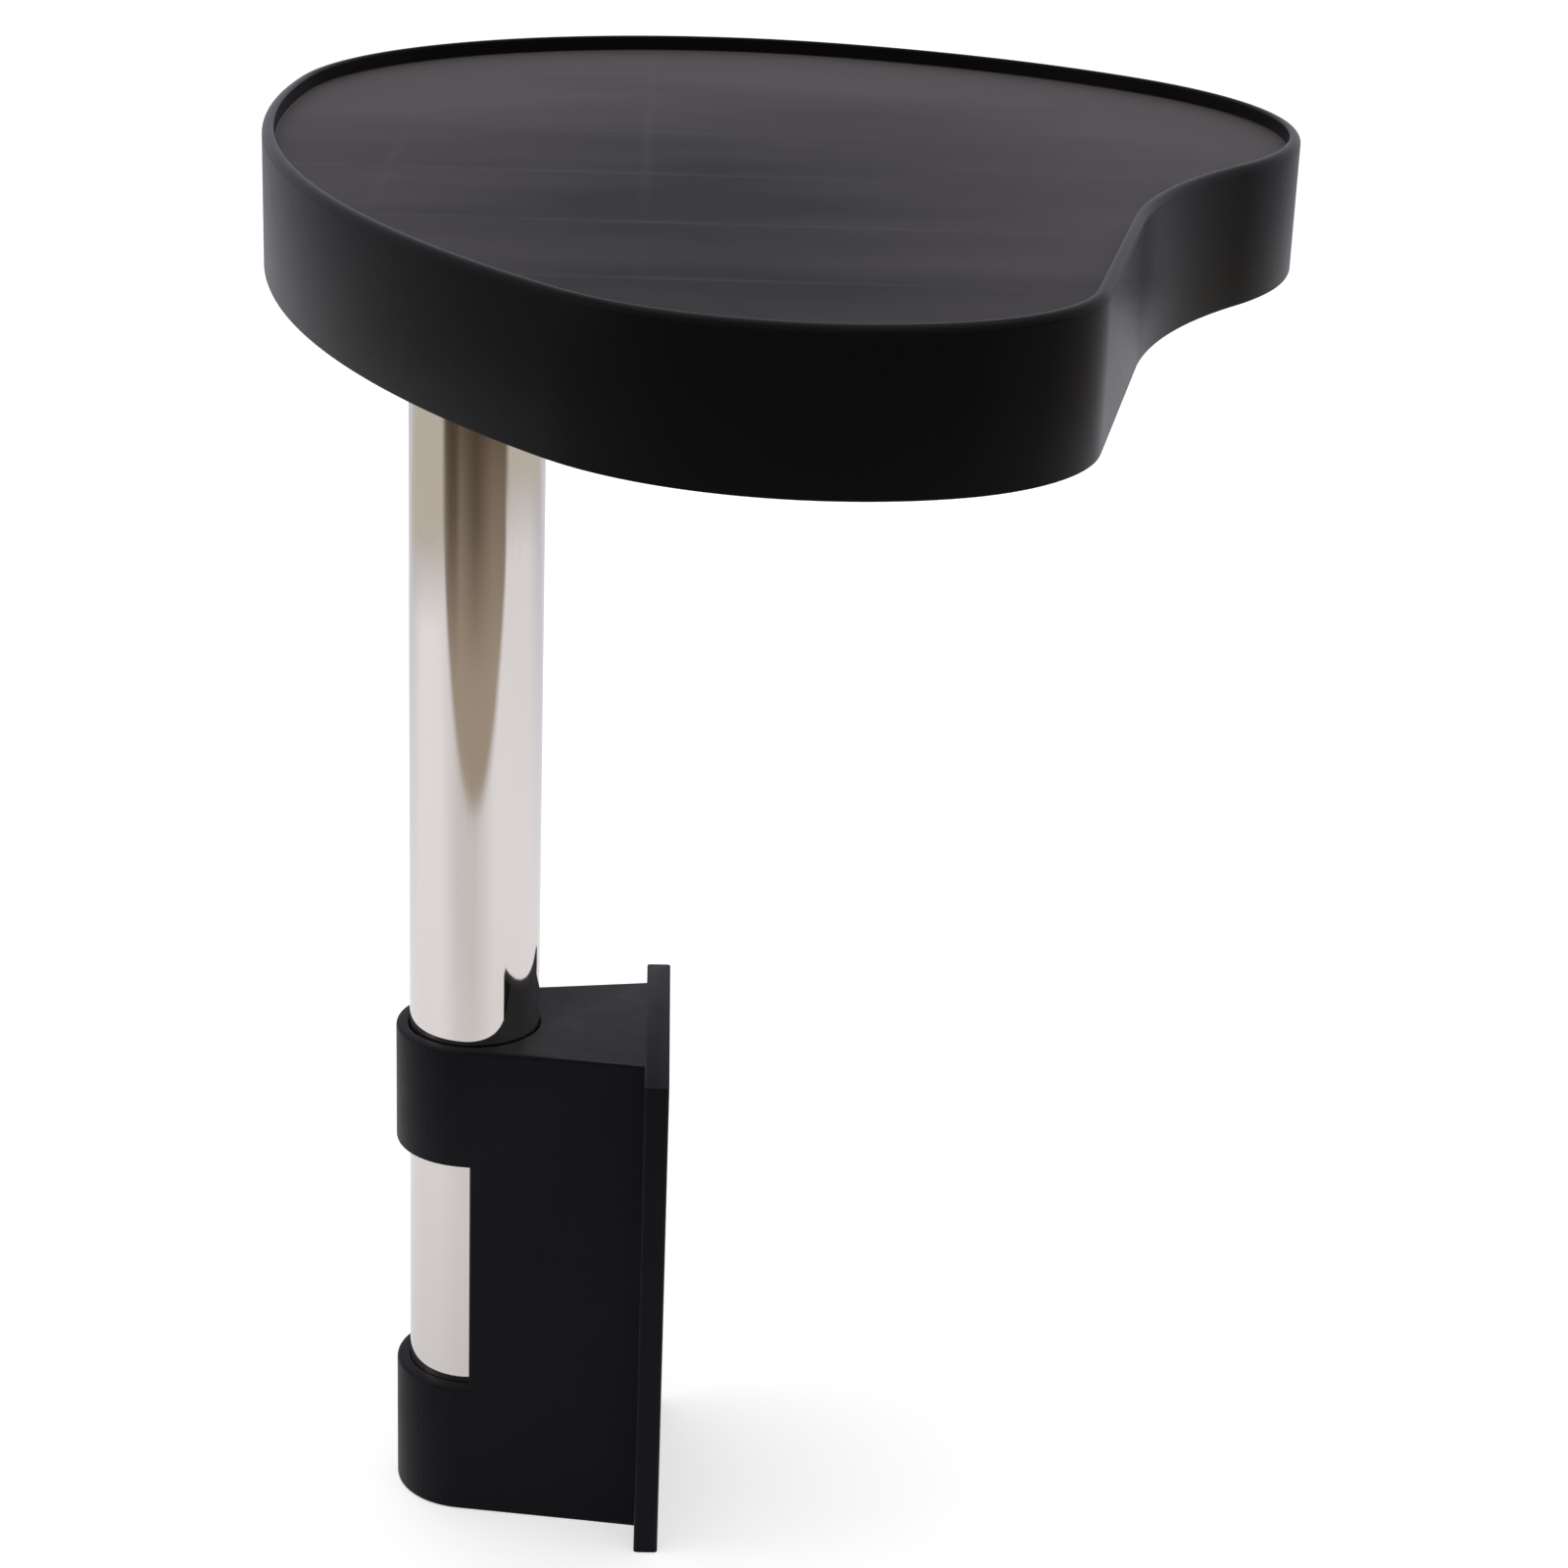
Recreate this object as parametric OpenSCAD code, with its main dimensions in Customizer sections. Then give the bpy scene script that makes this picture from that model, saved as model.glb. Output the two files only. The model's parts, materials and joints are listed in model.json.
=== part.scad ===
// Hot tub tray: a kidney-shaped tray on a polished post that turns in a two-collar
// bracket fixed to the side of the tub.
// Millimetres. The origin is the middle of the bracket's back, where it meets the tub's
// side. Z is up, the tub is towards +X and the photograph was taken from the -Y side.

/* [Post] */
// Outside diameter of the polished tube
post_diameter = 50.8; // [38:0.1:60]
// Wall of the tube
post_wall = 1.5; // [1:0.1:3]
// Gap between the tube and the collars' bores, all round
post_clearance = 0.3; // [0.2:0.05:0.6]
// Gap between the tube and the tray's socket, all round
socket_clearance = 0.05; // [0.02:0.01:0.1]
// Thickness of the foot that closes the tube's lower end
foot_thickness = 3; // [2:0.5:6]
// Length of the foot's spigot inside the tube
foot_spigot = 16; // [8:1:30]

/* [Bracket] */
// Overall height of the bracket
bracket_height = 204; // [160:1:260]
// Height of the upper collar
upper_collar = 50; // [30:1:60]
// Height of the lower collar
lower_collar = 56; // [35:1:65]
// Wall of the collars around the bore
collar_wall = 5; // [3.5:0.1:9]
// Width of the plate's ledge beside the body, on each side
plate_ledge = 19.5; // [16:0.5:26]
// Distance from the post's axis to the back of the mounting plate
axis_to_back = 77; // [62:0.5:95]
// Thickness of the mounting plate
plate_thickness = 9.5; // [6:0.5:14]
// Width of the mounting plate
plate_width = 120; // [110:1:150]
// Rounding of the mounting plate's upright edges
plate_edge_radius = 1.5; // [0.5:0.1:3]
// Thickness of the floor that the post's foot stands on
collar_floor = 4; // [3:0.5:8]
// Diameter of the drain hole in that floor
drain_diameter = 12; // [6:1:20]
// Chamfer at the mouth of each bore
bore_chamfer = 0.8; // [0.3:0.1:1.5]
// Wall left around the hollows in the bracket's back
back_wall = 4; // [3:0.5:6]
// Number of hollows, one above the other
back_rows = 4; // [3:1:6]

/* [Bracket screws] */
// Diameter of the screw holes in the mounting plate
screw_hole = 5.5; // [4:0.5:7]
// Diameter of the recess for each screw's head
screw_head_recess = 11; // [9:0.5:12]
// Depth of the recess for each screw's head
screw_recess_depth = 3; // [2:0.5:4]
// Distance of the screw holes from the plate's upright edges
screw_edge = 8.5; // [7:0.5:12]
// Distance of the screw holes from the plate's top and bottom
screw_end = 22; // [12:1:40]

/* [Tray position] */
// Height of the tray's rim above the bracket's foot
tray_height = 549; // [430:1:670]
// Height of the tray's rim
rim_height = 51; // [46:1:70]

/* [Tray wall] */
// Wall of the tray's skirt
skirt_wall = 3; // [2.5:0.1:3.8]
// Width of the lip on top
lip_width = 4.5; // [4:0.1:7]
// Depth of the tray's surface below the lip
recess_depth = 6; // [4:0.5:12]
// Thickness of the tray's surface
surface_thickness = 3; // [2.5:0.5:5]
// Rounding of the rim's outer top edge
rim_radius = 3; // [1:0.5:3.5]
// Rounding of the lip's inner top edge
lip_radius = 1; // [0.5:0.1:1.4]

/* [Tray outline] */
// Radius of the far corner on the post's side
far_radius = 170; // [150:1:190]
// Place of that corner's centre across
far_x = 90; // [80:1:100]
// Place of that corner's centre along
far_y = 118; // [108:1:128]
// Radius of the corner over the tub
tub_radius = 161; // [150:1:172]
// Place of that corner's centre across
tub_x = 149; // [139:1:159]
// Place of that corner's centre along
tub_y = 92; // [84:1:100]
// Radius of the near end
near_radius = 107; // [95:1:120]
// Place of the near end's centre across
near_x = 116; // [108:1:124]
// Place of the near end's centre along
near_y = -185; // [-200:1:-170]
// Radius of the corner between the near end and the scoop
corner_radius = 76; // [45:1:88]
// Direction of the rim where that corner starts
corner_heading = 20; // [10:1:34]
// Radius of the scoop in the tub side
scoop_radius = 263; // [190:1:330]
// Direction of the rim where the scoop meets the corner over the tub
scoop_heading = 52; // [46:0.5:58]
// Radius of the long side by the post
post_side_radius = 520; // [420:5:700]
// Radius of the far side
far_side_radius = 287; // [260:1:340]

/* [Tray underside] */
// Distance between the ribs, both ways
rib_pitch = 90; // [60:1:110]
// Shift of the rib grid from the post's axis, across
rib_shift_x = -30; // [-44:1:0]
// Shift of the rib grid from the post's axis, along
rib_shift_y = -25; // [-44:1:0]
// Thickness of the ribs
rib_thickness = 2; // [1.5:0.1:3]
// Height of the ribs
rib_height = 14; // [8:1:24]
// Wall of the socket around the post
socket_wall = 4.5; // [3.5:0.1:7]
// Distance between the socket's mouth and the tray's lower edge
socket_setback = 3; // [1:0.5:10]
// Length of the gussets that brace the socket
gusset_length = 34; // [20:1:45]
// Thickness of the gussets
gusset_thickness = 3; // [2:0.5:5]
// Height of the gussets where they start and end
gusset_toe = 4; // [3:0.5:8]

/* [Socket screws] */
// Diameter of the screws' threads
socket_screw_thread = 5; // [4:0.5:6]
// Diameter of the screws' heads
socket_screw_head = 10; // [8:0.5:12]
// Thickness of the screws' heads
socket_screw_head_height = 3; // [2:0.2:4]
// Length of each screw inside the tube
socket_screw_reach = 6; // [3:0.5:12]
// Width across the flats of the hexagon in each head
socket_screw_key = 3; // [2:0.5:5]
// Height of the screws above the tray's lower edge
socket_screw_height = 16; // [10:1:24]

/* [Hidden] */

eps = 0.01;
far_away = 400;

post_radius = post_diameter / 2;
bore_radius = post_radius + post_clearance;
collar_radius = bore_radius + collar_wall;
plate_front = axis_to_back - plate_thickness;
body_half = plate_width / 2 - plate_ledge;
side_flare = acos(collar_radius / norm([plate_front, body_half])) - atan2(plate_front, body_half);
screw_y = plate_width / 2 - screw_edge;
screw_z = bracket_height / 2 - screw_end;
window_bottom = lower_collar;
window_top = bracket_height - upper_collar;
post_bottom = collar_floor + foot_thickness;

rim_top = tray_height;
tray_underside = rim_top - rim_height;
surface_top = rim_top - recess_depth;
surface_bottom = surface_top - surface_thickness;
socket_bore = post_radius + socket_clearance;
socket_radius = socket_bore + socket_wall;
socket_mouth = tray_underside + socket_setback;
screw_level = tray_underside + socket_screw_height;

// Centre of an arc of radius r that wraps the arcs (a, ra) and (b, rb), on the left of a to b.
function wrap_centre(a, ra, b, rb, r) =
    let (d = norm(b - a), u = (b - a) / d,
         along = ((r - ra) ^ 2 - (r - rb) ^ 2 + d ^ 2) / (2 * d),
         off = sqrt((r - ra) ^ 2 - along ^ 2))
    a + along * u + off * [-u.y, u.x];

far_c = [far_x, far_y];
tub_c = [tub_x, tub_y];
near_c = [near_x, near_y];
scoop_c = tub_c + (tub_radius + scoop_radius) * [sin(scoop_heading), -cos(scoop_heading)];
corner_c = near_c + (near_radius - corner_radius) * [sin(corner_heading), -cos(corner_heading)];
far_side_c = wrap_centre(tub_c, tub_radius, far_c, far_radius, far_side_radius);
post_side_c = wrap_centre(far_c, far_radius, near_c, near_radius, post_side_radius);

// Anticlockwise round the tray: centre and radius of each arc, the radius negative where
// the rim curves inwards.
rim_arcs = [
    [tub_c, tub_radius],
    [far_side_c, far_side_radius],
    [far_c, far_radius],
    [post_side_c, post_side_radius],
    [near_c, near_radius],
    [corner_c, corner_radius],
    [scoop_c, -scoop_radius]
];
rim_count = len(rim_arcs);

// Direction in which the rim runs from arc i to the next one.
function rim_heading(i) =
    let (a = rim_arcs[i % rim_count], b = rim_arcs[(i + 1) % rim_count], d = b[0] - a[0])
    atan2(d.y, d.x) - asin(max(-1, min(1, (b[1] - a[1]) / norm(d))));

// Point of arc i, moved inwards, where the rim runs in the given direction.
function rim_point(i, heading, inset) =
    rim_arcs[i][0] + (rim_arcs[i][1] - inset) * [sin(heading), -cos(heading)];

function heading_in(i) = rim_heading((i + rim_count - 1) % rim_count);
function turn(i) = let (t = rim_heading(i) - heading_in(i)) t > 180 ? t - 360 : t < -180 ? t + 360 : t;

// Where arc i and the next one touch, they share a point; elsewhere a straight joins them.
function touches_next(i) =
    norm(rim_point(i, rim_heading(i), 0) - rim_point((i + 1) % rim_count, rim_heading(i), 0)) < 0.5;

// Facets of arc i: at most 3 degrees and 10 mm each.
function facets(i) =
    let (t = abs(turn(i))) max(2, ceil(t / 3), ceil(t * PI / 180 * abs(rim_arcs[i][1]) / 10));

// Stations along the rim: arc number and direction.
rim_stations = [for (i = [0:rim_count - 1]) let (n = facets(i))
    for (k = [0:touches_next(i) ? n - 1 : n]) [i, heading_in(i) + turn(i) * k / n]];

// The tray's outline, moved inwards by inset.
module tray_outline(inset = 0)
    polygon([for (s = rim_stations) rim_point(s[0], s[1], inset)]);

// Closed section of the rim as [inset, height]: up the skirt, over the lip and down inside.
rim_section = [
    [0, tray_underside],
    for (a = [0:15:90]) [rim_radius * (1 - cos(a)), rim_top - rim_radius * (1 - sin(a))],
    for (a = [0:30:90]) [lip_width - lip_radius * (1 - sin(a)), rim_top - lip_radius * (1 - cos(a))],
    [lip_width, surface_bottom],
    [skirt_wall, surface_bottom - (lip_width - skirt_wall)],
    [skirt_wall, tray_underside]
];

// Skirt and lip in one: the section lofted round the rim.
module rim() {
    n = len(rim_stations);
    m = len(rim_section);
    polyhedron(
        points = [for (s = rim_stations, c = rim_section) concat(rim_point(s[0], s[1], c[0]), c[1])],
        faces = [for (j = [0:n - 1], k = [0:m - 1])
            let (j2 = (j + 1) % n, k2 = (k + 1) % m)
            [j * m + k, j * m + k2, j2 * m + k2, j2 * m + k]]
    );
}

// Half-width of the bracket's side at a distance x from the post's axis.
function side_at(x, wall = 0) =
    (collar_radius - wall) / cos(side_flare) + x * tan(side_flare);

// Plan of the bracket's body: round at the post and flared towards the plate.
module body_plan() {
    tx = -collar_radius * sin(side_flare);
    ty = collar_radius * cos(side_flare);
    circle(collar_radius, $fn = 180);
    polygon([[tx, -ty], [axis_to_back - 1, -side_at(axis_to_back - 1)],
        [axis_to_back - 1, side_at(axis_to_back - 1)], [tx, ty]]);
}

// Plan of the mounting plate, with rounded upright edges.
module plate_plan() {
    r = plate_edge_radius;
    for (x = [plate_front + r, axis_to_back - r], y = [-1, 1])
        translate([x, y * (plate_width / 2 - r)]) circle(r, $fn = 32);
    translate([plate_front + r, -plate_width / 2])
        square([plate_thickness - 2 * r, plate_width]);
    translate([plate_front, r - plate_width / 2])
        square([plate_thickness, plate_width - 2 * r]);
}

// The shapes are drawn round the post's axis, from the bracket's foot up, and moved here.
module placed() translate([-axis_to_back, 0, -bracket_height / 2]) children();

// One moulding: both collars, the channel between them, the hollowed back and the plate.
module bracket() color([0.09, 0.09, 0.10]) {
    placed() difference() {
        linear_extrude(bracket_height) {
            body_plan();
            plate_plan();
        }
        // bore, closed at the bottom by the floor
        translate([0, 0, collar_floor]) cylinder(r = bore_radius, h = bracket_height, $fn = 180);
        translate([0, 0, -eps]) cylinder(d = drain_diameter, h = collar_floor + 2 * eps, $fn = 48);
        translate([0, 0, bracket_height - bore_chamfer])
            cylinder(r1 = bore_radius, r2 = bore_radius + bore_chamfer + eps, h = bore_chamfer + eps, $fn = 180);
        // window that shows the post between the collars
        translate([-collar_radius - 1, -far_away / 2, window_bottom])
            cube([collar_radius + 1, far_away, window_top - window_bottom]);
        back_hollows();
        plate_screw_holes();
    }
}

// Hollows in the back, in rows, with a web up the middle.
module back_hollows() {
    pitch = (bracket_height - back_wall) / back_rows;
    x0 = bore_radius + collar_wall + back_wall;
    for (row = [0:back_rows - 1], side = [-1, 1])
        translate([0, 0, back_wall + row * pitch])
            linear_extrude(pitch - back_wall)
                polygon([[x0, side * back_wall / 2], [axis_to_back + 1, side * back_wall / 2],
                    [axis_to_back + 1, side * (side_at(axis_to_back + 1) - back_wall)],
                    [x0, side * (side_at(x0) - back_wall)]]);
}

module plate_screw_holes() {
    for (y = [-1, 1], z = [-1, 1])
        translate([plate_front, y * screw_y, bracket_height / 2 + z * screw_z])
            rotate([0, 90, 0]) {
                translate([0, 0, -1]) cylinder(d = screw_hole, h = plate_thickness + 2, $fn = 40);
                translate([0, 0, -1]) cylinder(d = screw_head_recess, h = screw_recess_depth + 1, $fn = 48);
            }
}

// Polished tube, from its foot up to the underside of the tray's surface.
module post() color([0.80, 0.79, 0.77]) {
    placed() difference() {
        translate([0, 0, post_bottom])
            cylinder(r = post_radius, h = surface_bottom - post_bottom, $fn = 180);
        translate([0, 0, post_bottom - 1])
            cylinder(r = post_radius - post_wall, h = surface_bottom - post_bottom + 2, $fn = 180);
        socket_screw_places()
            cylinder(d = socket_screw_thread, h = post_radius + 1, $fn = 40);
    }
}

// Moulded foot that closes the tube and turns on the lower collar's floor.
module post_foot() color([0.12, 0.12, 0.13]) {
    placed() translate([0, 0, collar_floor]) difference() {
        union() {
            cylinder(r = post_radius - 0.3, h = foot_thickness, $fn = 120);
            cylinder(r = post_radius - post_wall - 0.05, h = foot_thickness + foot_spigot, $fn = 120);
        }
        translate([0, 0, foot_thickness])
            cylinder(r = post_radius - post_wall - 3, h = foot_spigot + 1, $fn = 120);
    }
}

// Tray moulding: rounded rim, recessed surface, rib grid and the socket for the post.
module tray() color([0.24, 0.23, 0.25]) {
    placed() difference() {
        union() {
            rim();
            translate([0, 0, surface_bottom]) linear_extrude(surface_thickness)
                tray_outline(skirt_wall / 2);
            ribs();
            translate([0, 0, socket_mouth])
                cylinder(r = socket_radius, h = surface_bottom - socket_mouth + eps, $fn = 120);
            gussets();
        }
        translate([0, 0, tray_underside - 1])
            cylinder(r = socket_bore, h = surface_bottom - tray_underside + 1, $fn = 180);
        socket_screw_places()
            cylinder(d = socket_screw_thread, h = socket_radius + 1, $fn = 40);
    }
}

// Ribs both ways on one grid, cut off at the skirt.
module ribs() {
    reach = ceil(far_away / rib_pitch);
    translate([0, 0, surface_bottom - rib_height]) linear_extrude(rib_height + eps)
        intersection() {
            tray_outline(skirt_wall / 2);
            union() {
                for (n = [-reach:reach]) {
                    translate([rib_shift_x + n * rib_pitch - rib_thickness / 2, -far_away])
                        square([rib_thickness, 2 * far_away]);
                    translate([-far_away, rib_shift_y + n * rib_pitch - rib_thickness / 2])
                        square([2 * far_away, rib_thickness]);
                }
            }
        }
}

// Four gussets between the socket and the surface.
module gussets() {
    drop = surface_bottom - socket_mouth - gusset_toe;
    for (a = [45:90:315])
        rotate([0, 0, a]) translate([0, gusset_thickness / 2, 0]) rotate([90, 0, 0])
            linear_extrude(gusset_thickness)
                polygon([[socket_radius - 1, surface_bottom + eps], [socket_radius - 1, surface_bottom - drop],
                    [socket_radius, surface_bottom - drop], [socket_radius + gusset_length, surface_bottom - gusset_toe],
                    [socket_radius + gusset_length, surface_bottom + eps]]);
}

// The two places where screws pass through the socket into the tube.
module socket_screw_places() {
    for (a = [0, 180]) translate([0, 0, screw_level]) rotate([0, 90, a]) children();
}

// Two button-head screws that lock the tray to the post.
module socket_screws() color([0.72, 0.72, 0.72]) {
    tip = post_radius - socket_screw_reach;
    placed() socket_screw_places() difference() {
        union() {
            translate([0, 0, tip]) cylinder(d = socket_screw_thread - 0.1, h = socket_radius - tip, $fn = 40);
            translate([0, 0, socket_radius])
                cylinder(d1 = socket_screw_head, d2 = socket_screw_head * 0.6, h = socket_screw_head_height, $fn = 48);
        }
        translate([0, 0, socket_radius + socket_screw_head_height - 1.5])
            cylinder(d = socket_screw_key / cos(30), h = 2, $fn = 6);
    }
}

bracket();
post();
post_foot();
tray();
socket_screws();
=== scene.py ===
"""Hot tub tray on a swivelling post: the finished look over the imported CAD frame.

Sizes are in metres, in the CAD's own frame: the origin is the middle of the
bracket's back, Z is up, the tub is towards +X and the camera looks along +Y.
"""
import json
import math
from contextlib import contextmanager

import bpy
from mathutils import Matrix, Vector


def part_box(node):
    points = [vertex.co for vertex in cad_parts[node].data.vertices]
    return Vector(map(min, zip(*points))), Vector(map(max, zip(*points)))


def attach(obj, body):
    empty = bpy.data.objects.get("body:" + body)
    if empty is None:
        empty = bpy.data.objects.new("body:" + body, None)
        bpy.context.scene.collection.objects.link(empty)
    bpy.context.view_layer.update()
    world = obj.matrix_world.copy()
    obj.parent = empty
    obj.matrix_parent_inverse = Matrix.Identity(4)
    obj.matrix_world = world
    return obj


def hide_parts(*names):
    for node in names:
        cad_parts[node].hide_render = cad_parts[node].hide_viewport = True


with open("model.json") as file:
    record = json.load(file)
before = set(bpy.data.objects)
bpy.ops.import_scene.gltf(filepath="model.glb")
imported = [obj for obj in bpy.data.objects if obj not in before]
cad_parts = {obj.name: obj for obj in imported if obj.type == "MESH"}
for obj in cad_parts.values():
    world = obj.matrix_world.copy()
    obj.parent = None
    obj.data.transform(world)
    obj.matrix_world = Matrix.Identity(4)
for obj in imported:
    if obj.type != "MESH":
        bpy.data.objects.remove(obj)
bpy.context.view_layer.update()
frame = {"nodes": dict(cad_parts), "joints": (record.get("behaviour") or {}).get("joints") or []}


def heights(node):
    """The heights at which a CAD node starts and ends."""
    return [round(corner.z, 4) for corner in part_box(node)]


# Places read from the frame.
AXIS_X = frame["joints"][0]["pos_m"][0]
FOOT_Z, BRACKET_TOP = heights("bracket")
POST_BOTTOM = heights("post")[0]
TRAY_BOTTOM, RIM_TOP = heights("tray")

# The post's tube, its foot and the socket's screws.
POST_RADIUS = 0.0254
POST_WALL = 0.0015
TUBE_EDGE = 0.0004
TUBE_BAND = 0.004  # a band at each end, so that the long wall shades evenly
FOOT_EDGE = 0.0004
SCREW_EDGE = 0.0002

# The bracket's collars and plate.
POST_CLEARANCE = 0.0003
COLLAR_WALL = 0.005
LOWER_COLLAR = 0.056
UPPER_COLLAR = 0.050
PLATE_FRONT = -0.0095
PLATE_WIDTH = 0.120
PLATE_LEDGE = 0.0195
COLLAR_EDGE = 0.0015
PLATE_EDGE = 0.0006

# The tray's skirt, lip and surface, and the roundings of their edges.
SKIRT_WALL = 0.003
LIP_WIDTH = 0.0045
SURFACE_TOP = RIM_TOP - 0.006
SURFACE_BOTTOM = SURFACE_TOP - 0.003
RIM_RADIUS = 0.003
LIP_RADIUS = 0.001
LIP_FOOT_RADIUS = 0.0005
SKIRT_EDGE = 0.0007
INNER_RADIUS = 0.002
FLAT_BORDER = 0.003  # a flat strip between a rounding and the large face beside it

# The tray's underside: ribs both ways, and a socket with gussets round the post.
RIB_PITCH = 0.090
RIB_SHIFT_X, RIB_SHIFT_Y = -0.030, -0.025
RIB_HEIGHT = 0.014
RIB_THICKNESS = 0.002
RIB_DRAFT = 0.8
RIB_EDGE = 0.0005
SOCKET_BORE = POST_RADIUS + 0.00005
SOCKET_RADIUS = SOCKET_BORE + 0.0045
SOCKET_MOUTH = TRAY_BOTTOM + 0.003
SOCKET_EDGE = 0.001
SOCKET_FLARE = 0.002
GUSSET_LENGTH = 0.034
GUSSET_THICKNESS = 0.003
GUSSET_TOE = 0.004
GUSSET_EDGE = 0.0005
GUSSET_ROOT = 0.001  # how far a gusset reaches into the socket's wall
OVERLAP = 0.0002  # how far the ribs and the gussets reach into the surface

# The tray's outline from above, with the post's axis as the origin: each corner's
# centre and radius, the curves between them, and the rim's heading where they meet.
FAR_CORNER = (Vector((0.090, 0.118)), 0.170)
TUB_CORNER = (Vector((0.149, 0.092)), 0.161)
NEAR_END = (Vector((0.116, -0.185)), 0.107)
SCOOP_RADIUS = 0.263
SCOOP_HEADING = math.radians(52)
SCOOP_CORNER_RADIUS = 0.076
SCOOP_CORNER_HEADING = math.radians(20)
POST_SIDE_RADIUS = 0.520
FAR_SIDE_RADIUS = 0.287
STATION_SPACING = 0.0035

# How the pieces are meshed and picked.
CIRCLE_STEPS = 144
TUBE_STEPS = 180
SAME_PLACE = 0.0001
MERGE_DISTANCE = 0.000002
FLAT_ANGLE = math.radians(0.6)


def heading_vector(heading):
    """The direction outwards from a corner's centre where the rim has that heading."""
    return Vector((math.sin(heading), -math.cos(heading)))


def wrapping_arc(first, second, radius):
    """The arc of that radius that wraps two corners, as (centre, radius)."""
    (a, ra), (b, rb) = first, second
    gap = (b - a).length
    u = (b - a) / gap
    along = ((radius - ra) ** 2 - (radius - rb) ** 2 + gap ** 2) / (2 * gap)
    off = math.sqrt((radius - ra) ** 2 - along ** 2)
    return a + along * u + off * Vector((-u.y, u.x)), radius


def rim_arcs():
    """The rim's arcs anticlockwise, as (centre, radius, first heading, turn)."""
    near, near_radius = NEAR_END
    tub, tub_radius = TUB_CORNER
    corner = near + (near_radius - SCOOP_CORNER_RADIUS) * heading_vector(SCOOP_CORNER_HEADING)
    scoop = tub + (tub_radius + SCOOP_RADIUS) * heading_vector(SCOOP_HEADING)
    arcs = [
        TUB_CORNER,
        wrapping_arc(TUB_CORNER, FAR_CORNER, FAR_SIDE_RADIUS),
        FAR_CORNER,
        wrapping_arc(FAR_CORNER, NEAR_END, POST_SIDE_RADIUS),
        NEAR_END,
        (corner, SCOOP_CORNER_RADIUS),
        (scoop, -SCOOP_RADIUS),
    ]

    def meeting_heading(i):
        (a, ra), (b, rb) = arcs[i % len(arcs)], arcs[(i + 1) % len(arcs)]
        line = b - a
        lean = max(-1.0, min(1.0, (rb - ra) / line.length))
        return math.atan2(line.y, line.x) - math.asin(lean)

    headed = []
    for i, (centre, radius) in enumerate(arcs):
        start = meeting_heading(i - 1)
        turn = (meeting_heading(i) - start + math.pi) % (2 * math.pi) - math.pi
        headed.append((centre, radius, start, turn))
    return headed


def station_point(station, inset):
    """The place of one station on the rim, that far inside it."""
    centre, radius, heading = station
    return centre + (radius - inset) * heading_vector(heading)


def rim_stations(spacing):
    """Stations round the rim about that far apart, as (centre, radius, heading)."""
    stations = []
    for centre, radius, start, turn in rim_arcs():
        count = max(2, round(abs(turn * radius) / spacing))
        for k in range(count + 1):
            stations.append((centre, radius, start + turn * k / count))

    too_close = 0.3 * spacing

    def same(one, other):
        gap = station_point(one, 0.0) - station_point(other, 0.0)
        return gap.length <= too_close

    kept = []
    for station in stations:
        if not kept or not same(station, kept[-1]):
            kept.append(station)
    if same(kept[0], kept[-1]):
        kept.pop()
    return kept


STATIONS = rim_stations(STATION_SPACING)


def rim_loop(inset, z):
    """Points round the tray at that inset and height."""
    points = (station_point(station, inset) for station in STATIONS)
    return [Vector((AXIS_X + p.x, p.y, z)) for p in points]


def circle_loop(radius, z, count=CIRCLE_STEPS):
    """Points round the post's axis at that radius and height."""
    return [Vector((AXIS_X + radius * math.cos(a), radius * math.sin(a), z))
            for a in (2 * math.pi * k / count for k in range(count))]


def rounded_section(start, corners, end):
    """A section's points from start to end, with a quarter turn at each square corner.

    A corner is (inset, height, radius, steps).
    """
    def direction(a, b):
        length = math.dist(a, b)
        return (b[0] - a[0]) / length, (b[1] - a[1]) / length

    path = [start, *((x, z) for x, z, _, _ in corners), end]
    points = [start]
    for before, corner, after in zip(path, corners, path[2:]):
        x, z, radius, steps = corner
        (ax, az), (lx, lz) = direction(before, (x, z)), direction((x, z), after)
        for a in (math.pi / 2 * k / steps for k in range(steps + 1)):
            back, on = radius * (1 - math.sin(a)), radius * (1 - math.cos(a))
            points.append((x - back * ax + on * lx, z - back * az + on * lz))
    return [*points, end]


def deselect_everything():
    """Back to object mode with nothing selected."""
    if bpy.context.object and bpy.context.object.mode != "OBJECT":
        bpy.ops.object.mode_set(mode="OBJECT")
    bpy.ops.object.select_all(action="DESELECT")


def work_on(piece):
    """Makes the piece the only selected one, and the active one."""
    deselect_everything()
    piece.select_set(True)
    bpy.context.view_layer.objects.active = piece


@contextmanager
def editing(element):
    """Edit mode on the piece at hand, picking vertices or edges, and back again."""
    bpy.ops.object.mode_set(mode="EDIT")
    bpy.ops.mesh.select_mode(type=element)
    yield
    bpy.ops.object.mode_set(mode="OBJECT")


def pick_edges(piece, wanted):
    """Selects only the edges whose two ends pass the test."""
    with editing("EDGE"):
        bpy.ops.mesh.select_all(action="DESELECT")
    for edge in piece.data.edges:
        edge.select = wanted(*(piece.data.vertices[i].co for i in edge.vertices))


def start_from_circle(name, points):
    """A circle primitive with its points pulled to the given places, in order."""
    deselect_everything()
    bpy.ops.mesh.primitive_circle_add(vertices=len(points), radius=0.1, location=(0, 0, 0))
    piece = bpy.context.object
    piece.name = piece.data.name = name
    for vertex, place in zip(piece.data.vertices, points):
        vertex.co = place
    return piece


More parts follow.
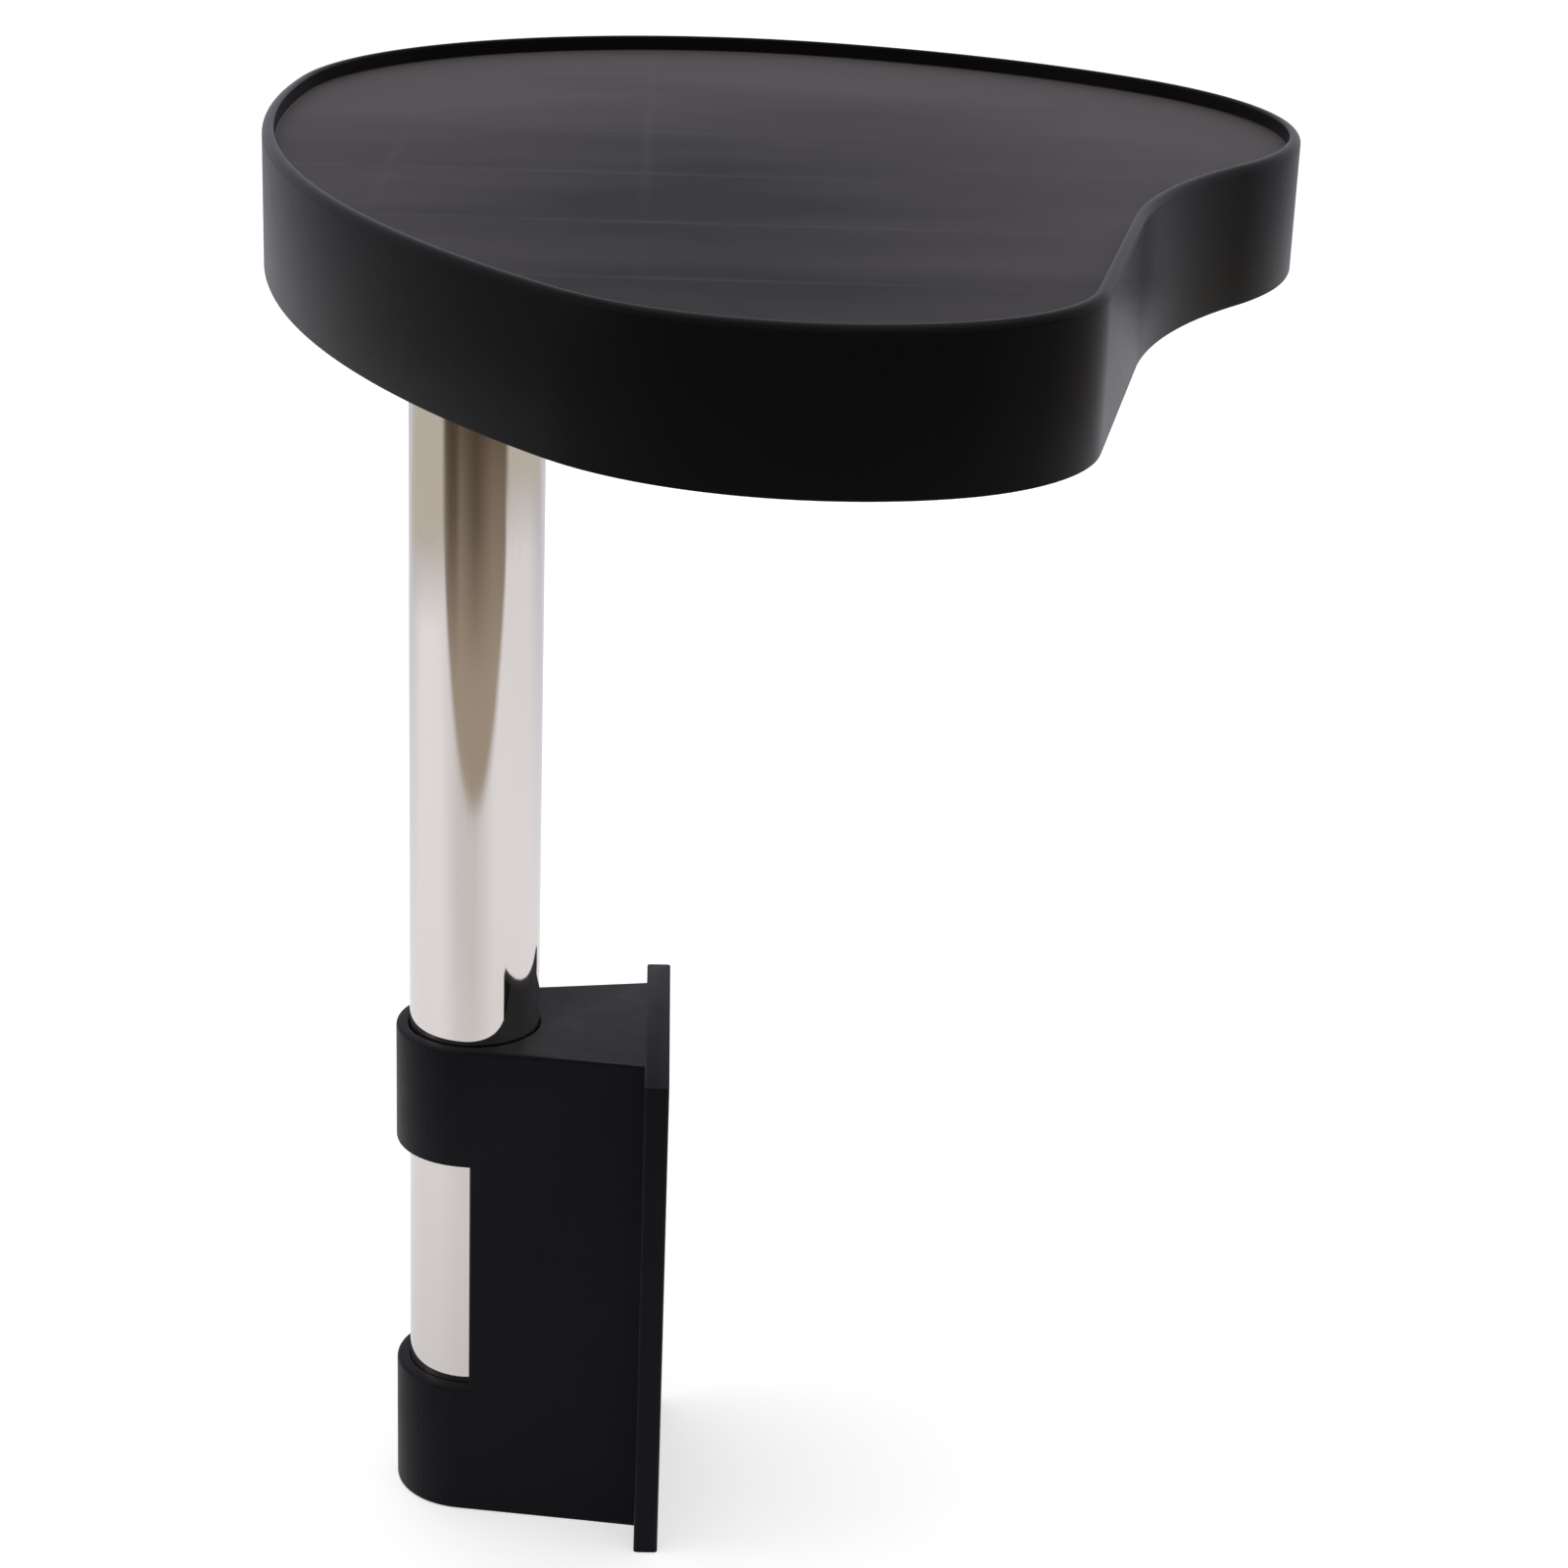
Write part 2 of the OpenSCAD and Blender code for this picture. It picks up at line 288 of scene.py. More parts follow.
def draw_out(piece, before, after):
    """Extrudes the selected loop and pulls each new point to its next place."""
    def key(place):
        return tuple(round(c, 6) for c in place)

    with editing("VERT"):
        bpy.ops.mesh.extrude_region_move(TRANSFORM_OT_translate={"value": (0, 0, 0)})
    next_place = {key(p): q for p, q in zip(before, after)}
    for vertex in piece.data.vertices:
        if vertex.select:
            vertex.co = next_place[key(vertex.co)]


def loop_model(name, loops, join_ends=False):
    """A piece drawn out of one loop, section by section, then joined up or filled in."""
    piece = start_from_circle(name, loops[0])
    work_on(piece)
    for before, after in zip(loops, loops[1:]):
        draw_out(piece, before, after)
    with editing("EDGE"):
        bpy.ops.mesh.select_all(action="DESELECT")
        bpy.ops.mesh.select_non_manifold()
        if join_ends:
            bpy.ops.mesh.bridge_edge_loops()
        else:
            bpy.ops.mesh.fill_holes(sides=0)
        bpy.ops.mesh.select_all(action="SELECT")
        bpy.ops.mesh.normals_make_consistent(inside=False)
    return piece


def smooth(piece, degrees):
    """Smooth shading over every edge that turns less than that angle."""
    work_on(piece)
    bpy.ops.object.shade_smooth_by_angle(angle=math.radians(degrees))


def round_edges(piece, width, segments, degrees=35):
    """A bevel over every edge sharper than that angle, applied."""
    work_on(piece)
    bevel = piece.modifiers.new("rounding", "BEVEL")
    bevel.width = width
    bevel.segments = segments
    bevel.limit_method = "ANGLE"
    bevel.angle_limit = math.radians(degrees)
    bevel.use_clamp_overlap = True
    bpy.ops.object.modifier_apply(modifier=bevel.name)


def copy_of(node, name):
    """A copy of a CAD node with its loose triangles merged into flat faces."""
    source = frame["nodes"][node]
    piece = bpy.data.objects.new(name, source.data.copy())
    piece.data.name = name
    bpy.context.scene.collection.objects.link(piece)
    piece.hide_render = piece.hide_viewport = False
    work_on(piece)
    with editing("VERT"):
        bpy.ops.mesh.select_all(action="SELECT")
        bpy.ops.mesh.remove_doubles(threshold=MERGE_DISTANCE)
        bpy.ops.mesh.dissolve_limited(angle_limit=FLAT_ANGLE)
        bpy.ops.mesh.select_all(action="DESELECT")
    return piece


def finish_piece(piece, body, material, node=None):
    """Gives the piece its material, the body it moves with and the node it stands for."""
    piece.data.materials.clear()
    piece.data.materials.append(material)
    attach(piece, body)
    if node:
        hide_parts(node)


class Nodes:
    """The nodes of one material, or of the world, laid out by short calls."""

    def __init__(self, owner, coordinate="Object"):
        owner.use_nodes = True
        self.tree = owner.node_tree
        self.tree.nodes.clear()
        self.place = self.add("ShaderNodeTexCoord").outputs[coordinate]

    def add(self, kind, **values):
        node = self.tree.nodes.new(kind)
        for key, value in values.items():
            setattr(node, key, value)
        return node

    def fill(self, socket, value):
        """Links a socket to another node's, or types a number or a colour into it."""
        if isinstance(value, bpy.types.NodeSocket):
            self.tree.links.new(value, socket)
        elif isinstance(value, tuple):
            socket.default_value = (*value, 1.0)
        else:
            socket.default_value = value

    def made(self, kind, output, **inputs):
        """A new node's output, with its inputs filled by name."""
        node = self.add(kind)
        for key, value in inputs.items():
            self.fill(node.inputs[key.replace("_", " ")], value)
        return node.outputs[output]

    def math(self, operation, *values):
        node = self.add("ShaderNodeMath", operation=operation)
        for socket, value in zip(node.inputs, values):
            self.fill(socket, value)
        return node.outputs[0]

    def product(self, first, *others):
        for other in others:
            first = self.math("MULTIPLY", first, other)
        return first

    def largest(self, first, *others):
        for other in others:
            first = self.math("MAXIMUM", first, other)
        return first

    def distance(self, value, centre):
        """How far a value is from a centre."""
        return self.math("ABSOLUTE", self.math("SUBTRACT", value, centre))

    def diagonal(self, a, b):
        """The length of a step of a one way and b the other."""
        squares = self.math("POWER", a, 2.0), self.math("POWER", b, 2.0)
        return self.math("SQRT", self.math("ADD", *squares))

    def remap(self, value, low, high, to_low, to_high):
        return self.made("ShaderNodeMapRange", "Result", Value=value, From_Min=low,
                         From_Max=high, To_Min=to_low, To_Max=to_high)

    def rising(self, value, start, end):
        """0 up to the start, 1 from the end on."""
        return self.remap(value, start, end, 0.0, 1.0)

    def falling(self, value, start, end):
        """1 up to the start, 0 from the end on."""
        return self.remap(value, start, end, 1.0, 0.0)

    def spread(self, noise, low, high):
        """A noise, whose values crowd round its middle, spread from low to high."""
        return self.remap(noise, 0.3, 0.7, low, high)

    def mix(self, factor, a, b):
        node = self.add("ShaderNodeMix", data_type="RGBA")
        for socket, value in ((node.inputs["Factor"], factor), (node.inputs[6], a),
                              (node.inputs[7], b)):
            self.fill(socket, value)
        return node.outputs[2]

    def stretched(self, scale):
        """The place with each axis scaled, so that a noise on it is drawn out."""
        node = self.add("ShaderNodeMapping")
        node.inputs["Scale"].default_value = scale
        self.fill(node.inputs["Vector"], self.place)
        return node.outputs["Vector"]

    def noise(self, scale, detail=2.0, roughness=0.5, where=None):
        return self.made("ShaderNodeTexNoise", "Fac", Scale=scale, Detail=detail,
                         Roughness=roughness, Vector=where or self.place)

    def drawn_noise(self, stretch, detail=2.0):
        """A noise whose scale is given for each axis."""
        return self.noise(1.0, detail, where=self.stretched(stretch))

    def bump(self, height, strength, distance, after=None):
        node = self.add("ShaderNodeBump")
        node.inputs["Strength"].default_value = strength
        node.inputs["Distance"].default_value = distance
        self.fill(node.inputs["Height"], height)
        if after is not None:
            self.fill(node.inputs["Normal"], after)
        return node.outputs["Normal"]

    def axes(self, where=None):
        """The X, Y and Z of the place, or of another vector."""
        node = self.add("ShaderNodeSeparateXYZ")
        self.fill(node.inputs["Vector"], where or self.place)
        return node.outputs


class Finish(Nodes):
    """A piece's material: one surface whose inputs are filled by name."""

    def __init__(self, name):
        self.material = bpy.data.materials.new(name)
        super().__init__(self.material)

    def surface(self, **inputs):
        output = self.add("ShaderNodeOutputMaterial")
        shader = self.made("ShaderNodeBsdfPrincipled", "BSDF", **inputs)
        self.fill(output.inputs["Surface"], shader)
        return self.material


def grid_line(s, coordinate, shift):
    """1 on the rib grid's lines across one axis, fading to 0 beside them."""
    half_width = 0.003
    cell = s.math("PINGPONG", s.math("SUBTRACT", coordinate, shift), RIB_PITCH / 2)
    return s.falling(cell, 0.0, half_width)


def recess_mask(s, z):
    """1 on the tray's recessed surface, 0 on the lip, the skirt and the underside."""
    up = s.axes(where=s.add("ShaderNodeNewGeometry").outputs["True Normal"])[2]
    above = s.rising(z, SURFACE_TOP - 0.0004, SURFACE_TOP - 0.0001)
    below = s.falling(z, SURFACE_TOP + 0.0001, SURFACE_TOP + 0.0005)
    return s.product(above, below, s.rising(up, 0.80, 0.95))


def rib_sink_and_sheen_lines(s, x, y):
    """The faint lines that the ribs leave, patchy and weaker towards the middle's near part: they
    are sunk by a bump, and also lightened in colour as a painted sheen.
    """
    off_middle = s.remap(s.distance(x, 0.05), 0.03, 0.09, 0.10, 1.0)
    off_near_end = s.remap(y, -0.12, 0.02, 0.15, 1.0)
    lengthways = s.product(grid_line(s, x, AXIS_X + RIB_SHIFT_X), off_middle, off_near_end)
    crossways = grid_line(s, y, RIB_SHIFT_Y)
    patchy = s.remap(s.noise(9), 0.40, 0.58, 0.30, 1.0)
    return s.product(s.largest(lengthways, crossways), patchy)


def painted_reflection_tone(s, x, y, haze):
    """The recess's painted reflection: dark in a hazy oval in the middle, paler towards the lip."""
    middle_x, middle_y = 0.005, -0.03
    side_reach, far_reach, near_reach = 0.20, 0.24, 0.60
    across = s.math("DIVIDE", s.math("SUBTRACT", x, middle_x), side_reach)
    beyond = s.math("SUBTRACT", y, middle_y)
    along = s.largest(s.math("DIVIDE", beyond, far_reach),
                      s.math("DIVIDE", beyond, -near_reach))
    cloud = s.math("ADD", s.diagonal(across, along), s.spread(haze, -0.32, 0.32))
    # painted reflection: the colour runs from dark in the oval to pale towards the lip
    return s.mix(s.rising(cloud, 0.25, 1.05), (0.0080, 0.0066, 0.0074), (0.052, 0.0445, 0.0475))


def tray_material():
    """Black moulding: a satin rim and skirt, and a matt recess with faint sink lines over the ribs;
    the recess's colour holds a painted reflection and a painted sheen along the sink lines.
    """
    s = Finish("tray_plastic")
    x, y, z = s.axes()
    haze = s.drawn_noise((3.0, 8.0, 8.0), detail=3)
    recess = recess_mask(s, z)
    sink_and_sheen_mask = s.product(rib_sink_and_sheen_lines(s, x, y), recess)
    satin = s.mix(s.spread(haze, 0.0, 1.0), (0.0048, 0.0044, 0.0048), (0.0062, 0.0056, 0.0061))
    # the recess's colour: the painted reflection tone, with a painted sheen, a lighter colour,
    # along the sink lines
    matt = s.mix(s.product(sink_and_sheen_mask, 0.36), painted_reflection_tone(s, x, y, haze), (0.060, 0.055, 0.059))
    scuffs = s.spread(s.noise(60, detail=6, roughness=0.7), -0.008, 0.008)
    sunk = s.bump(sink_and_sheen_mask, strength=0.2, distance=-0.00010)
    grain = s.noise(1500, roughness=0.6)
    return s.surface(
        Base_Color=s.mix(recess, satin, matt),
        Roughness=s.math("ADD", s.remap(recess, 0.0, 1.0, 0.27, 0.60), scuffs),
        Specular_IOR_Level=s.remap(recess, 0.0, 1.0, 0.038, 0.088),
        Normal=s.bump(grain, strength=0.06, distance=0.00010, after=sunk),
        IOR=1.38,
        Specular_Tint=(0.97, 0.94, 1.0),
    )


def bracket_material():
    """Satin black moulding with a finer grain than the tray's."""
    s = Finish("bracket_plastic")
    cloud = s.spread(s.noise(16, detail=3), 0.0, 1.0)
    scuffs = s.noise(90, detail=5, roughness=0.65)
    grain = s.noise(2200, roughness=0.6)
    return s.surface(
        Base_Color=s.mix(cloud, (0.0046, 0.0043, 0.0062), (0.0060, 0.0056, 0.0078)),
        Roughness=s.spread(scuffs, 0.40, 0.46),
        Specular_IOR_Level=0.135,
        Normal=s.bump(grain, strength=0.10, distance=0.00008),
        IOR=1.40,
        Specular_Tint=(0.95, 0.93, 1.0),
    )


def steel_material():
    """Polished stainless tube: near-mirror, with a slow ripple and hair-fine polishing lines."""
    s = Finish("polished_steel")
    lines = s.drawn_noise((700, 700, 5))
    ripple = s.drawn_noise((26, 26, 3))
    waves = s.bump(ripple, strength=0.16, distance=0.0002)
    return s.surface(
        Base_Color=s.mix(s.spread(ripple, 0.0, 1.0), (0.710, 0.675, 0.662), (0.665, 0.625, 0.608)),
        Roughness=s.spread(lines, 0.045, 0.075),
        Normal=s.bump(lines, strength=0.015, distance=0.00003, after=waves),
        Metallic=1.0,
    )


def foot_material():
    """Dark moulded foot with a fine grain."""
    s = Finish("foot_plastic")
    return s.surface(
        Base_Color=s.mix(s.noise(40, detail=3), (0.022, 0.022, 0.024), (0.035, 0.034, 0.036)),
        Roughness=s.spread(s.noise(300, detail=3), 0.38, 0.55),
        Normal=s.bump(s.noise(1800), strength=0.12, distance=0.00008),
    )


def screw_material():
    """Plain stainless screw with turning marks along its length."""
    s = Finish("screw_steel")
    rings = s.drawn_noise((4000, 300, 300))
    return s.surface(
        Base_Color=s.mix(rings, (0.50, 0.49, 0.48), (0.64, 0.63, 0.62)),
        Roughness=s.spread(rings, 0.24, 0.38),
        Normal=s.bump(rings, strength=0.15, distance=0.00005),
        Metallic=1.0,
    )


TRAY_PLASTIC = tray_material()
BRACKET_PLASTIC = bracket_material()
POLISHED_STEEL = steel_material()
FOOT_PLASTIC = foot_material()
SCREW_STEEL = screw_material()


def tray_moulding():
    """Recessed surface, rounded lip and skirt, drawn out of one loop from top to underside."""
    section = rounded_section(
        start=(LIP_WIDTH + FLAT_BORDER, SURFACE_TOP),
        corners=[
            (LIP_WIDTH, SURFACE_TOP, LIP_FOOT_RADIUS, 4),
            (LIP_WIDTH, RIM_TOP, LIP_RADIUS, 4),
            (0.0, RIM_TOP, RIM_RADIUS, 8),
            (0.0, TRAY_BOTTOM, SKIRT_EDGE, 2),
            (SKIRT_WALL, TRAY_BOTTOM, SKIRT_EDGE, 2),
            (SKIRT_WALL, SURFACE_BOTTOM, INNER_RADIUS, 3),
        ],
        end=(SKIRT_WALL + INNER_RADIUS + FLAT_BORDER, SURFACE_BOTTOM),
    )
    piece = loop_model("tray_moulding", [rim_loop(inset, z) for inset, z in section])
    smooth(piece, 40)
    finish_piece(piece, "tray_body", TRAY_PLASTIC, "tray")


def crossings(position, across):
    """Where a rib line at that position meets the skirt: pairs of ends, inside its wall."""
    in_the_wall = 0.6 * SKIRT_WALL
    points = [station_point(station, in_the_wall) for station in STATIONS]
    found = []
    for p, q in zip(points, points[1:] + points[:1]):
        a, b = (p.x, q.x) if across else (p.y, q.y)
        if (a - position) * (b - position) < 0:
            t = (position - a) / (b - a)
            found.append((p.y + t * (q.y - p.y)) if across else (p.x + t * (q.x - p.x)))
    found.sort()
    return list(zip(found[::2], found[1::2]))


def rib(low, high, position, across):
    """One rib: a bar drafted towards its lower edge, with that edge rounded."""
    deselect_everything()
    length, middle = high - low, (low + high) / 2
    mid_height = SURFACE_BOTTOM - RIB_HEIGHT / 2
    if across:
        centre, size = (AXIS_X + position, middle), (RIB_THICKNESS, length, RIB_HEIGHT)
    else:
        centre, size = (AXIS_X + middle, position), (length, RIB_THICKNESS, RIB_HEIGHT)
    bpy.ops.mesh.primitive_cube_add(size=1, location=(*centre, mid_height + OVERLAP))
    piece = bpy.context.object
    piece.scale = size
    bpy.ops.object.transform_apply(location=True, rotation=True, scale=True)
    thin, long = (0, 1) if across else (1, 0)
    for vertex in piece.data.vertices:
        if vertex.co.z < mid_height:
            vertex.co[thin] = centre[thin] + (vertex.co[thin] - centre[thin]) * RIB_DRAFT
    pick_edges(piece, lambda a, b: abs(a[long] - b[long]) > length / 2
               and max(a.z, b.z) < mid_height)
    with editing("EDGE"):
        bpy.ops.mesh.bevel(offset=RIB_EDGE, segments=2, affect="EDGES")
    return piece


def gusset(angle):
    """A triangular brace between the socket and the surface, standing at that angle."""
    deselect_everything()
    bpy.ops.mesh.primitive_cube_add(size=1, location=(0, 0, 0))
    piece = bpy.context.object
    inner, outer = SOCKET_RADIUS - GUSSET_ROOT, SOCKET_RADIUS + GUSSET_LENGTH
    side = GUSSET_THICKNESS / 2
    heel = SOCKET_MOUTH + GUSSET_TOE
    toe = SURFACE_BOTTOM - GUSSET_TOE
    for vertex in piece.data.vertices:
        x, y, z = vertex.co
        lower = toe if x > 0 else heel
        vertex.co = (outer if x > 0 else inner, math.copysign(side, y),
                     SURFACE_BOTTOM + OVERLAP if z > 0 else lower)
    piece.matrix_world = Matrix.Translation((AXIS_X, 0, 0)) @ Matrix.Rotation(angle, 4, "Z")
    bpy.ops.object.transform_apply(location=True, rotation=True, scale=True)
    round_edges(piece, GUSSET_EDGE, 2)
    return piece


def socket():
    """The sleeve round the post: a chamfered bore, a rounded mouth and a flared root."""
    chamfer = 0.0008
    section = [
        (SOCKET_BORE, SURFACE_BOTTOM),
        (SOCKET_BORE, SOCKET_MOUTH + SOCKET_EDGE),
        (SOCKET_BORE + chamfer, SOCKET_MOUTH),
        (SOCKET_RADIUS - chamfer, SOCKET_MOUTH),
        (SOCKET_RADIUS - 0.2 * SOCKET_EDGE, SOCKET_MOUTH + 0.3 * SOCKET_EDGE),
        (SOCKET_RADIUS, SOCKET_MOUTH + SOCKET_EDGE),
        (SOCKET_RADIUS, SURFACE_BOTTOM - SOCKET_FLARE),
        (SOCKET_RADIUS + 0.3 * SOCKET_FLARE, SURFACE_BOTTOM - 0.3 * SOCKET_FLARE),
        (SOCKET_RADIUS + SOCKET_FLARE, SURFACE_BOTTOM + OVERLAP / 2),
    ]
    return loop_model("socket", [circle_loop(r, z) for r, z in section], join_ends=True)


def underside():
    """Rib grid, gussets and the socket that takes the post, joined as one piece."""
    parts = []
    for n in range(-5, 6):
        for across, shift in ((True, RIB_SHIFT_X), (False, RIB_SHIFT_Y)):
            position = shift + n * RIB_PITCH
            for low, high in crossings(position, across):
                parts.append(rib(low, high, position, across))
    for degrees in (45, 135, 225, 315):
        parts.append(gusset(math.radians(degrees)))
    parts.append(socket())
    deselect_everything()
    for part in parts:
        part.select_set(True)
    piece = parts[-1]
    bpy.context.view_layer.objects.active = piece
    bpy.ops.object.join()
    piece.name = piece.data.name = "tray_underside"
    smooth(piece, 40)
    finish_piece(piece, "tray_body", TRAY_PLASTIC)


def post_tube():
    """Polished tube with broken edges at both ends."""
    inner, outer = POST_RADIUS - POST_WALL, POST_RADIUS
    bottom, top = POST_BOTTOM, SURFACE_BOTTOM
    section = [
        (inner, bottom + TUBE_EDGE), (inner + TUBE_EDGE, bottom),
        (outer - TUBE_EDGE, bottom), (outer, bottom + TUBE_EDGE),
        (outer, bottom + TUBE_BAND), (outer, top - TUBE_BAND),
        (outer, top - TUBE_EDGE), (outer - TUBE_EDGE, top),
        (inner + TUBE_EDGE, top), (inner, top - TUBE_EDGE),
    ]
    loops = [circle_loop(r, z, TUBE_STEPS) for r, z in section]
    piece = loop_model("post_tube", loops, join_ends=True)
    smooth(piece, 30)
    finish_piece(piece, "tray_body", POLISHED_STEEL, "post")


def post_foot_moulding():
    """The foot in the tube's lower end, with its edges rounded."""
    piece = copy_of("post_foot", "post_foot_moulding")
    round_edges(piece, FOOT_EDGE, 2)
    smooth(piece, 30)
    finish_piece(piece, "tray_body", FOOT_PLASTIC, "post_foot")


def lock_screws():
    """The two screws through the socket, with their edges rounded."""
    piece = copy_of("socket_screws", "lock_screws")
    round_edges(piece, SCREW_EDGE, 2)
    smooth(piece, 30)
    finish_piece(piece, "tray_body", SCREW_STEEL, "socket_screws")


def on_collar_rim(a, b):
    """Whether an edge runs round the body's outside at a collar's top or bottom."""
    levels = (FOOT_Z, FOOT_Z + LOWER_COLLAR, BRACKET_TOP - UPPER_COLLAR, BRACKET_TOP)
    outside = POST_RADIUS + POST_CLEARANCE + COLLAR_WALL - 2 * SAME_PLACE
    body_half = PLATE_WIDTH / 2 - PLATE_LEDGE + COLLAR_EDGE
    level = abs(a.z - b.z) < 0.1 * SAME_PLACE and any(abs(a.z - z) < SAME_PLACE for z in levels)
    if not level or all(abs(c.x - PLATE_FRONT) < SAME_PLACE for c in (a, b)):
        return False
    return all(math.hypot(c.x - AXIS_X, c.y) > outside and abs(c.y) < body_half
               and c.x < PLATE_FRONT + SAME_PLACE for c in (a, b))


def bracket_moulding():
    """Both collars, the channel and the plate; the collars' rims are rounded the most."""
    piece = copy_of("bracket", "bracket_moulding")
    pick_edges(piece, on_collar_rim)
    # every edge between two picked corners goes along, the upright ones too
    ends = {i for edge in piece.data.edges if edge.select for i in edge.vertices}
    for edge in piece.data.edges:
        edge.select = ends.issuperset(edge.vertices)
    with editing("EDGE"):
        bpy.ops.mesh.bevel(offset=COLLAR_EDGE, segments=4, affect="EDGES", clamp_overlap=False)
    round_edges(piece, PLATE_EDGE, 3, 30)
    smooth(piece, 30)
    finish_piece(piece, "bracket_body", BRACKET_PLASTIC, "bracket")


def ray_level(s, camera, mirror, other):
    """A strength for rays from the camera, one for rays off a mirror or glass, one for the rest."""
    path = s.add("ShaderNodeLightPath").outputs
    mirrored = s.largest(path["Is Glossy Ray"], path["Is Transmission Ray"])
    seen = s.math("MULTIPLY_ADD", path["Is Camera Ray"], camera - other, other)
    return s.math("MULTIPLY_ADD", mirrored, mirror - other, seen)


def far_tone(s, start, end, tone):
    """White, but in reflections it turns to that tone from start to end along Y."""
    reflected = s.add("ShaderNodeLightPath").outputs["Is Glossy Ray"]
    far = s.remap(s.axes()[1], start, end, 0.0, 1.0)
    return s.mix(s.product(far, reflected), (1.0, 1.0, 1.0), tone)


def studio_world():
    """White all round, a little dimmer and bluer at the far end of what the part mirrors."""
    world = bpy.data.worlds.new("studio")
    bpy.context.scene.world = world
    s = Nodes(world, "Generated")
    output = s.add("ShaderNodeOutputWorld")
    s.fill(output.inputs["Surface"], s.made(
        "ShaderNodeBackground", "Background",
        Color=far_tone(s, 0.1, 0.8, (0.81, 0.83, 0.91)),
        Strength=ray_level(s, camera=1.0, mirror=1.0, other=0.62),
    ))


def studio_floor():
    """Pale floor at the bracket's foot: it glows to the camera and keeps the shadow."""
    deselect_everything()
    bpy.ops.mesh.primitive_plane_add(size=30, location=(0, 0, FOOT_Z))
    floor = bpy.context.object
    floor.name = "floor"
    material = bpy.data.materials.new("pale_floor")
    s = Nodes(material)
    output = s.add("ShaderNodeOutputMaterial")
    both = s.add("ShaderNodeAddShader")
    s.fill(both.inputs[0], s.made("ShaderNodeBsdfDiffuse", "BSDF", Color=(0.84, 0.84, 0.84)))
    s.fill(both.inputs[1], s.made(
        "ShaderNodeEmission", "Emission",
        Color=far_tone(s, 0.25, 0.90, (0.10, 0.12, 0.36)),
        Strength=ray_level(s, camera=0.50, mirror=0.24, other=0.0),
    ))
    s.fill(output.inputs["Surface"], both.outputs[0])
    floor.data.materials.append(material)


def surroundings_card():
    """A sheet just over the floor, with walls on the camera's side, the left and the right."""
    front, back, half_width, wall_height = -3.6, 1.2, 6.0, 2.2
    deselect_everything()
    bpy.ops.mesh.primitive_plane_add(size=1, location=(0, 0, 0))
    card = bpy.context.object
    card.name = "dim_surroundings"
    for vertex in card.data.vertices:
        vertex.co = (math.copysign(half_width, vertex.co.x),
                     front if vertex.co.y < 0 else back, FOOT_Z + 0.001)
    pick_edges(card, lambda a, b: min(a.y, b.y) < 0)
    with editing("EDGE"):
        bpy.ops.mesh.extrude_edges_move(TRANSFORM_OT_translate={"value": (0, 0, wall_height)})
    return card


def tan_end(s, turn, distance):
    """The tone past the floor's edge: tan, deeper farther off, with two darker uprights."""
    tan = s.mix(s.rising(distance, 1.10, 1.90), (0.45, 0.375, 0.29), (0.13, 0.095, 0.060))
    left_upright = s.falling(s.distance(turn, -0.66), 0.08, 0.26)
    middle_upright = s.falling(s.distance(turn, 0.02), 0.05, 0.50)
    depth = s.remap(distance, 1.05, 1.50, 0.0, 0.60)
    uprights = s.product(s.largest(left_upright, middle_upright), depth)
    return s.mix(uprights, tan, (0.05, 0.03, 0.02))


def surroundings_material():
    """Tones by the place round the post; clear where the studio stays white.

    The turn is the direction from the post in radians: 0 towards the camera, positive to
    the right. Distances are from the post.
    """
    material = bpy.data.materials.new("dim_surroundings")
    s = Nodes(material)
    x, y, z = s.axes()
    ahead = s.product(y, -1.0)
    aside = s.math("SUBTRACT", x, AXIS_X)
    distance = s.diagonal(aside, ahead)
    turn = s.math("ARCTAN2", aside, ahead)
    wide = s.math("ABSOLUTE", turn)

    middle = s.product(s.rising(ahead, 0.765, 0.855), s.falling(wide, 0.88, 1.02))
    slanted = s.math("ADD", distance, s.product(s.math("SINE", turn), -0.11))
    sides = s.product(s.rising(slanted, 1.29, 1.53), s.falling(wide, 2.30, 2.60))
    shadow = s.product(s.remap(s.distance(turn, -0.22), 0.25, 0.85, 0.50, 0.0),
                       s.remap(ahead, 0.25, 0.60, 0.2, 1.0))

    shade = s.mix(sides, (0.60, 0.58, 0.57), (0.66, 0.62, 0.54))
    shade = s.mix(middle, shade, tan_end(s, turn, distance))
    up_the_wall = s.rising(z, FOOT_Z + 0.02, FOOT_Z + 0.30)
    shade = s.mix(up_the_wall, shade, (0.20, 0.18, 0.16))

    output = s.add("ShaderNodeOutputMaterial")
    both = s.add("ShaderNodeMixShader")
    s.fill(both.inputs[0], s.largest(middle, sides, shadow))
    s.fill(both.inputs[1], s.made("ShaderNodeBsdfTransparent", "BSDF"))
    s.fill(both.inputs[2], s.made("ShaderNodeEmission", "Emission", Color=shade))
    s.fill(output.inputs["Surface"], both.outputs[0])
    return material


